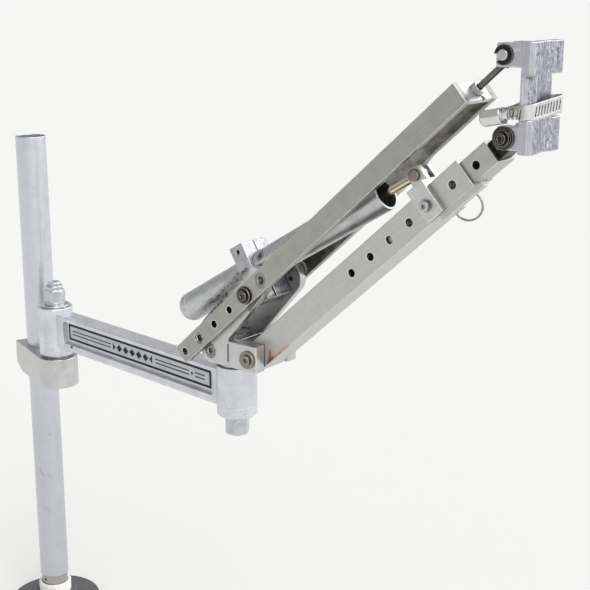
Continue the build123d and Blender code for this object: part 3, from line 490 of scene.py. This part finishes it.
def strut_marks(finish, colour):
    """Oily grime in patches, thickest behind the collar, and painted shade along the lower flank with dark flecks
    of dirt in it.
    """
    patches = finish.ramp(finish.noise(7.0, stretch=(2, 1, 1), detail=6.0, seed=2), 0.52, 0.66)
    colour = finish.mix(finish.part_of(patches, 0.2), colour, BROWN)
    dots = finish.specks(1.6, 0.36, 11)
    near_collar = finish.ramp(finish.math("ABSOLUTE", finish.part(0)), 90.0, 25.0)
    colour = finish.mix(finish.math("MULTIPLY", dots, finish.part_of(near_collar, 0.8)), colour, DIRT)
    # Painted shade along the tube's lower flank; the flecks in it are dirt.
    shaded_flank = finish.stroke((-90, -14, 10), (-8, -15, 25), 5.5, 0.4)
    flecks = finish.either(finish.specks(2.6, 0.46, 2), finish.specks(1.2, 0.42, 6))
    colour = finish.mix(finish.part_of(shaded_flank, 0.6), colour, (0.10, 0.09, 0.085))
    colour = finish.mix(finish.math("MULTIPLY", shaded_flank, finish.part_of(flecks, 0.9)), colour, DIRT)
    return finish.mix(finish.spot((21.5, -10, 30), (5, 7, 4)), colour, (0.08, 0.05, 0.03))


def collar_marks(finish, colour):
    colour = machined_marks(finish, colour)
    chips = finish.spot((12.5, -2, -11.5), (3, 20, 2.6), ragged=0.9)
    colour = finish.mix(finish.part_of(chips, 0.8), colour, (0.06, 0.04, 0.03))
    mottle = finish.ramp(finish.noise(3.5, detail=5.0, seed=18), 0.55, 0.66)
    return finish.mix(finish.part_of(mottle, 0.6), colour, (0.14, 0.12, 0.10))


def steel_marks(finish, colour):
    """Brown film on the lower pivot; the upper pivot is black with grease."""
    above = finish.ramp(finish.part(2), 40.0, 41.0)
    behind = finish.ramp(finish.part(0), 60.0, 59.0)
    high = finish.math("MULTIPLY", above, behind)
    film = finish.ramp(finish.noise(3.0, detail=4.0, seed=6), 0.40, 0.62)
    colour = finish.mix(finish.part_of(film, 0.5), colour, (0.25, 0.17, 0.11))
    return finish.mix(finish.part_of(high, 0.9), colour, (0.03, 0.03, 0.03))


def head_marks(finish, colour):
    """Scuffed tool face with broad streaks and fine speckle down it; chips at its edges."""
    across = finish.math("ABSOLUTE", finish.part(1))
    face = finish.math("MULTIPLY", finish.ramp(finish.part(0), 16.0, 19.0), finish.ramp(across, 25.6, 24.9))
    broad = finish.ramp(finish.noise(6.0, stretch=(1, 1, 9), detail=3.0, seed=4), 0.42, 0.60)
    dark = finish.ramp(finish.noise(1.5, stretch=(1, 1, 3.5), detail=6.0, seed=19), 0.46, 0.60)
    fine = finish.ramp(finish.noise(0.9, stretch=(1, 1, 2), detail=5.0, seed=13), 0.52, 0.62)
    light = finish.ramp(finish.noise(1.4, stretch=(1, 1, 4), detail=6.0, seed=28), 0.55, 0.66)
    layers = [(broad, 0.6, (0.44, 0.45, 0.56)), (dark, 0.75, (0.20, 0.21, 0.27)),
              (fine, 0.65, (0.10, 0.10, 0.14)), (light, 0.6, WHITE)]
    for pattern, share, shade in layers:
        colour = finish.mix(finish.math("MULTIPLY", face, finish.part_of(pattern, share)), colour, shade)
    chips = finish.either(finish.spot((26, -28, 52), (6, 4, 2.6), 0.9),
                          finish.spot((27, 14.5, 73.2), (4, 2.2, 2), 0.6),
                          finish.spot((27, 15.3, 66.9), (4, 1.2, 2), 0.6))
    colour = finish.mix(finish.part_of(chips, 0.75), colour, (0.07, 0.065, 0.06))
    # Painted highlight: a light patch where a dent catches the light.
    dent_glint = finish.spot((10, -28.6, 74), (4, 2, 1.8), 0.9)
    return finish.mix(finish.part_of(dent_glint, 0.35), colour, WHITE)


def band_marks(finish, colour):
    """The band's near side lies in the shade of the screw housing and is dull."""
    beside = finish.ramp(finish.part(1), -27.0, -28.5)
    near = finish.math("MINIMUM", beside, finish.ramp(finish.part(0), 24.0, 18.0))
    return finish.mix(finish.part_of(near, 0.6), colour, (0.11, 0.10, 0.095))


def clevis_marks(finish, colour):
    """Dirt round the cap screw."""
    colour = machined_marks(finish, colour)
    return finish.mix(finish.part_of(finish.circle(276.6, 0, 5.8, 1.0), 0.35), colour, DIRT)


def build_finishes():
    """One finish for each material slot of the record."""
    return {
        "post_alu": metal("post_alu", (0.64, 0.655, 0.71), 0.34, WORLD, (1, 1, 60), 0.05, 0.05, post_marks),
        "machined_alu": metal("machined_alu", MACHINED, 0.34, WORLD, (6, 6, 1), 0.08, 0.06, machined_marks),
        "bar_alu": metal("bar_alu", BAR_TONE, 0.36, UPPER_FRAME, (60, 1, 1), 0.08, 0.10, bar_marks),
        "head_alu": metal("head_alu", (0.49, 0.49, 0.535), 0.34, HEAD_FRAME, (1, 1, 25),
                          0.12, 0.12, head_marks, 0.08),
        "cast_paint": cast_paint(),
        "zinc": metal("zinc", (0.54, 0.56, 0.58), 0.26, WORLD, (1, 1, 1), 0.14, 0.06),
        "black_steel": metal("black_steel", (0.035, 0.034, 0.034), 0.34, WORLD, (1, 1, 1), 0.25, 0.15,
                             wear=(0.25, 0.23, 0.21)),
        "steel": metal("steel", (0.30, 0.27, 0.24), 0.32, BRACKET, (1, 1, 1), 0.2, 0.1, steel_marks,
                       wear=(0.55, 0.52, 0.48)),
        "bronze": metal("bronze", (0.34, 0.28, 0.19), 0.36, WORLD, (1, 1, 1), 0.2, 0.1),
        "rod_gold": metal("rod_gold", (0.74, 0.66, 0.54), 0.16, STRUT_FRAME, (60, 1, 1), 0.1, 0.1),
        "stainless": metal("stainless", (0.70, 0.69, 0.68), 0.20, HEAD_FRAME, (1, 1, 1), 0.08, 0.05),
        "label": label(),
        "nylon": plain("nylon", (0.86, 0.86, 0.83), 0.50),
        "flange_paint": plain("flange_paint", (0.10, 0.10, 0.105), 0.45),
    }


def build_special_finishes():
    """Finishes of single nodes whose marks are their own."""
    light_bar = (0.53, 0.53, 0.51)
    strut_tone = (0.56, 0.57, 0.58)
    pin_steel = metal("pin_steel", (0.52, 0.52, 0.52), 0.30, HEAD_FRAME)
    bolt_steel = metal("bolt_steel", (0.055, 0.052, 0.05), 0.32, HEAD_FRAME, wear=(0.35, 0.33, 0.31))
    tube = metal("tube_alu", light_bar, 0.36, LOWER_FRAME, (60, 1, 1), 0.06, 0.08, tube_marks)
    strut = metal("strut_alu", strut_tone, 0.36, STRUT_FRAME, (12, 1, 1), 0.09, 0.07, strut_marks)
    return {
        "lower_tube": tube,
        "guide_lip": tube,
        "extension_bar": metal("extension_alu", (0.46, 0.46, 0.45), 0.36, LOWER_FRAME, (60, 1, 1),
                               0.08, 0.10),
        "strut_tube": strut,
        "strut_cap": strut,
        "trunnion_collar": metal("collar_alu", (0.42, 0.42, 0.45), 0.34, STRUT_FRAME, (1, 1, 1),
                                 0.1, 0.06, collar_marks),
        "near_cheek": metal("near_cheek_alu", MACHINED, 0.34, BRACKET, (1, 1, 6),
                            0.08, 0.06, near_cheek_marks),
        "far_cheek": metal("far_cheek_alu", MACHINED, 0.34, BRACKET, (1, 1, 6), 0.1, 0.06, far_cheek_marks),
        "base_block": metal("base_alu", MACHINED, 0.36, BRACKET, (6, 6, 1), 0.1, 0.06, base_marks),
        "far_bar": metal("far_bar_alu", BAR_TONE, 0.36, UPPER_FRAME, (60, 1, 1), 0.1, 0.1, far_bar_marks),
        "bar_bushes": metal("bush_alu", (0.30, 0.30, 0.29), 0.34, UPPER_FRAME, (1, 1, 1),
                            0.1, 0.1, bar_marks),
        "head_pin": pin_steel,
        "cheek_screws": metal("bright_steel", (0.22, 0.22, 0.23), 0.14, BRACKET),
        "head_bolt": bolt_steel,
        "head_washers": bolt_steel,
        "hose_band": metal("band_steel", (0.72, 0.71, 0.70), 0.20, HEAD_FRAME, marks=band_marks),
        "near_clevis": metal("clevis_alu", MACHINED, 0.34, LOWER_FRAME, (6, 6, 1),
                             0.08, 0.06, clevis_marks),
        "lower_arm_screws": metal("screw_zinc", (0.40, 0.41, 0.42), 0.28, LOWER_FRAME, mottle=0.16),
        "post_spigot": metal("spigot_steel", (0.45, 0.43, 0.41), 0.34, WORLD, (20, 20, 1), 0.15, 0.15),
    }


def apply_finishes(finishes, special):
    slots = {part["node"]: part["material_slot"] for part in frame["record"]["subparts"]}
    for name, node in frame["nodes"].items():
        node.data.materials.clear()
        node.data.materials.append(special.get(name) or finishes[slots[name]])


# Pieces ---------------------------------------------------------------------------------------------

def piece(name, rows, material, body, place, closed=False):
    """Smooth mesh from rings of points (mm); closed joins the last ring to the first."""
    count = len(rows[0])
    points = [place @ (Vector(point) * MM) for row in rows for point in row]
    faces = []
    for start in range(len(rows) if closed else len(rows) - 1):
        after = (start + 1) % len(rows)
        for index in range(count):
            beside = (index + 1) % count
            faces.append((start * count + index, after * count + index,
                          after * count + beside, start * count + beside))
    if not closed:
        faces.append(tuple(reversed(range(count))))
        faces.append(tuple(range((len(rows) - 1) * count, len(rows) * count)))
    mesh = bpy.data.meshes.new(name)
    mesh.from_pydata(points, [], faces)
    mesh.materials.append(material)
    shape = bmesh.new()
    shape.from_mesh(mesh)
    bmesh.ops.recalc_face_normals(shape, faces=shape.faces)
    shape.to_mesh(mesh)
    shape.free()
    for face in mesh.polygons:
        face.use_smooth = True
    made = bpy.data.objects.new(name, mesh)
    bpy.context.scene.collection.objects.link(made)
    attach(made, body)
    return made


ROD_SIDE = 9.1
ROD_R = 3.175
ROD_FROM, ROD_TO = 262.0, 369.0
PITCH = 1.27
THREAD_DEPTH = 0.7


def threaded_rod(material):
    """Rod with a helical thread: its radius follows a triangle wave that winds round it."""
    sides, steps = 24, 5
    rows = []
    for row in range(int((ROD_TO - ROD_FROM) / PITCH * steps)):
        along = ROD_FROM + row * PITCH / steps
        ring = []
        for index in range(sides):
            share = (along / PITCH - index / sides) % 1.0
            radius = ROD_R - THREAD_DEPTH * abs(2 * share - 1)
            turn = 2 * math.pi * index / sides
            ring.append((along, -ROD_SIDE + radius * math.cos(turn), radius * math.sin(turn)))
        rows.append(ring)
    rod = piece("threaded_rod", rows, material, "adjuster", UPPER_FRAME)
    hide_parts("adjuster_rod")


SPLIT_R = 13.7
SPLIT_WIRE = 0.94


def split_ring(material):
    """Pull ring wound from two turns of wire that lie side by side."""
    low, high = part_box("pull_ring")
    centre = (Vector(low) + Vector(high)) / 2
    face = Vector(PIVOT_AXIS)
    across = Vector((0, 0, 1)).cross(face).normalized()
    place = Matrix.Translation(centre) @ Matrix((across, face, Vector((0, 0, 1)))).transposed().to_4x4()
    rows = []
    steps, sides = 144, 12
    for step in range(steps + 1):
        turn = 4 * math.pi * step / steps
        lift = SPLIT_WIRE * 1.02 * math.tanh((step / steps - 0.5) * 14)
        ring = []
        for index in range(sides):
            wire = 2 * math.pi * index / sides
            radius = SPLIT_R + SPLIT_WIRE * math.cos(wire)
            side = lift + SPLIT_WIRE * math.sin(wire)
            ring.append((radius * math.cos(turn), side, radius * math.sin(turn)))
        rows.append(ring)
    made = piece("split_ring", rows, material, "ring", place)
    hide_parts("pull_ring")


# Stage, light and camera ----------------------------------------------------------------------------

FLOOR_R = 300.0


def floor():
    mesh = bpy.data.meshes.new("floor")
    shape = bmesh.new()
    bmesh.ops.create_circle(shape, cap_ends=True, segments=96, radius=FLOOR_R)
    shape.to_mesh(mesh)
    shape.free()
    ground = bpy.data.objects.new("floor", mesh)
    ground.location.z = CAD_BOUNDS[0].z - 0.0005
    bpy.context.scene.collection.objects.link(ground)
    finish = Finish("floor", 0.0)
    mesh.materials.append(finish.finish((0.80, 0.80, 0.79, 1.0), 0.9))
    finish.shader.inputs["Specular IOR Level"].default_value = 0.0


def sky():
    """Soft white room, brightest low down on the side that the tool face looks at."""
    world = bpy.data.worlds.new("studio")
    bpy.context.scene.world = world
    world.use_nodes = True
    tree = world.node_tree
    direction = tree.nodes.new("ShaderNodeTexCoord").outputs["Generated"]
    facing = tree.nodes.new("ShaderNodeVectorMath")
    facing.operation = "DOT_PRODUCT"
    facing.inputs[1].default_value = Vector((0.90, 0.30, 0.30)).normalized()
    tree.links.new(direction, facing.inputs[0])
    shade = tree.nodes.new("ShaderNodeMapRange")
    shade.interpolation_type = "SMOOTHSTEP"
    for index, value in enumerate((-0.3, 1.0, 0.50, 1.40), start=1):
        shade.inputs[index].default_value = value
    tree.links.new(facing.outputs["Value"], shade.inputs[0])
    tree.links.new(shade.outputs[0], tree.nodes["Background"].inputs["Strength"])
    tree.nodes["Background"].inputs["Color"].default_value = (1.0, 1.0, 1.0, 1.0)


def sun(name, azimuth, elevation, strength, spread):
    """Wide soft light from a compass azimuth (degrees from +X towards +Y) at an elevation."""
    turn, rise = math.radians(azimuth), math.radians(elevation)
    data = bpy.data.lights.new(name, "SUN")
    data.energy = strength
    data.angle = math.radians(spread)
    light = bpy.data.objects.new(name, data)
    towards = Vector((math.cos(turn) * math.cos(rise), math.sin(turn) * math.cos(rise), math.sin(rise)))
    light.rotation_euler = towards.to_track_quat("Z", "Y").to_euler()
    bpy.context.scene.collection.objects.link(light)


def camera():
    data = bpy.data.cameras.new("camera")
    data.sensor_width = 36.0
    data.lens = 73.22
    view = bpy.data.objects.new("camera", data)
    view.location = (1.2110, -0.9939, 0.8515)
    view.rotation_euler = (math.radians(75.3), 0.0, math.radians(38.2))
    bpy.context.scene.collection.objects.link(view)
    bpy.context.scene.camera = view


def stage():
    floor()
    sky()
    sun("key", -23, 45, 0.8, 30)
    sun("side", 62, 34, 0.55, 40)
    camera()
    bpy.context.scene.view_settings.view_transform = "Standard"


finishes = build_finishes()
apply_finishes(finishes, build_special_finishes())
threaded_rod(metal("thread_steel", (0.09, 0.08, 0.075), 0.30, UPPER_FRAME, wear=(0.35, 0.33, 0.31)))
split_ring(metal("ring_steel", (0.27, 0.27, 0.27), 0.24))
stage()
